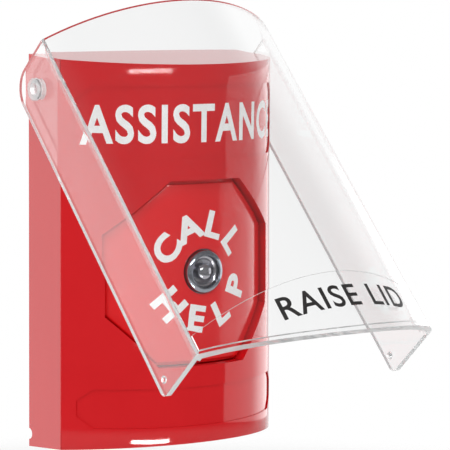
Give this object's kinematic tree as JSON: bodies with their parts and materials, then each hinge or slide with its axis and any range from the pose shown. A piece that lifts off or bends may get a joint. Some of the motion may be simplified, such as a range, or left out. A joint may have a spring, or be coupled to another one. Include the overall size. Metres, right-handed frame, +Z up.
{
  "type": "emergency push button",
  "caption": "Wall-mounted emergency push button: bowed red housing, recessed eight-sided button with a key switch, and a hinged clear lift-up cover.",
  "frame": {"origin": "centre of the back of the housing, on the wall, midway between the two wall screw slots", "axes": "+Z up, +Y into the wall, the front faces -Y, +X to the viewer's right"},
  "size_m": [0.0874, 0.1159, 0.139],
  "materials": {
    "red_shell": "polished moulded red",
    "red_button": "polished moulded red",
    "clear_cover": "clear polished moulding",
    "chrome": "bright plated",
    "lock_steel": "bright plated",
    "zinc_steel": "zinc plated",
    "black_nylon": "fine moulded",
    "grey_nylon": "fine moulded",
    "brass": "turned",
    "spring_steel": "drawn wire"
  },
  "bodies": {
    "station": {"housing": "red_shell", "back_plate": "zinc_steel", "housing_screws": "zinc_steel", "carrier": "black_nylon", "standoffs": "brass", "carrier_screws": "zinc_steel", "terminals": "brass", "terminal_screws": "zinc_steel", "contact_block_upper": "grey_nylon", "contact_block_lower": "grey_nylon", "return_spring_left": "spring_steel", "return_spring_right": "spring_steel"},
    "button": {"push_button": "red_button", "lock_barrel": "chrome", "lock_nut": "zinc_steel", "lock_washer": "zinc_steel", "guide_screws": "zinc_steel"},
    "lock_core": {"lock_plug": "lock_steel", "lock_cam": "zinc_steel", "cam_screw": "zinc_steel"},
    "cover": {"cover": "clear_cover"},
    "upper_contact": {"contact_plunger_upper": "black_nylon", "contact_bridge_upper": "brass"},
    "lower_contact": {"contact_plunger_lower": "black_nylon", "contact_bridge_lower": "brass"}
  },
  "joints": [
    {"name": "cover_hinge", "type": "hinge", "parent": "station", "child": "cover", "pos_m": [0, -0.0086, 0.0505], "axis": [1, 0, 0], "range_deg": [-45, 43]},
    {"name": "button_push", "type": "slide", "parent": "station", "child": "button", "axis": [0, 1, 0], "range_m": [0, 0.004], "stiffness_N_per_m": 1200, "springref_m": -0.002},
    {"name": "lock_turn", "type": "hinge", "parent": "button", "child": "lock_core", "pos_m": [0, -0.0349, -0.00565], "axis": [0, 1, 0], "range_deg": [0, 90]},
    {"name": "upper_contact_slide", "type": "slide", "parent": "station", "child": "upper_contact", "axis": [0, 1, 0], "range_m": [0, 0.004]},
    {"name": "lower_contact_slide", "type": "slide", "parent": "station", "child": "lower_contact", "axis": [0, 1, 0], "range_m": [0, 0.004]}
  ],
  "couplings": [
    {"joint": "upper_contact_slide", "follows": "button_push", "ratio": 1},
    {"joint": "lower_contact_slide", "follows": "button_push", "ratio": 1}
  ]
}
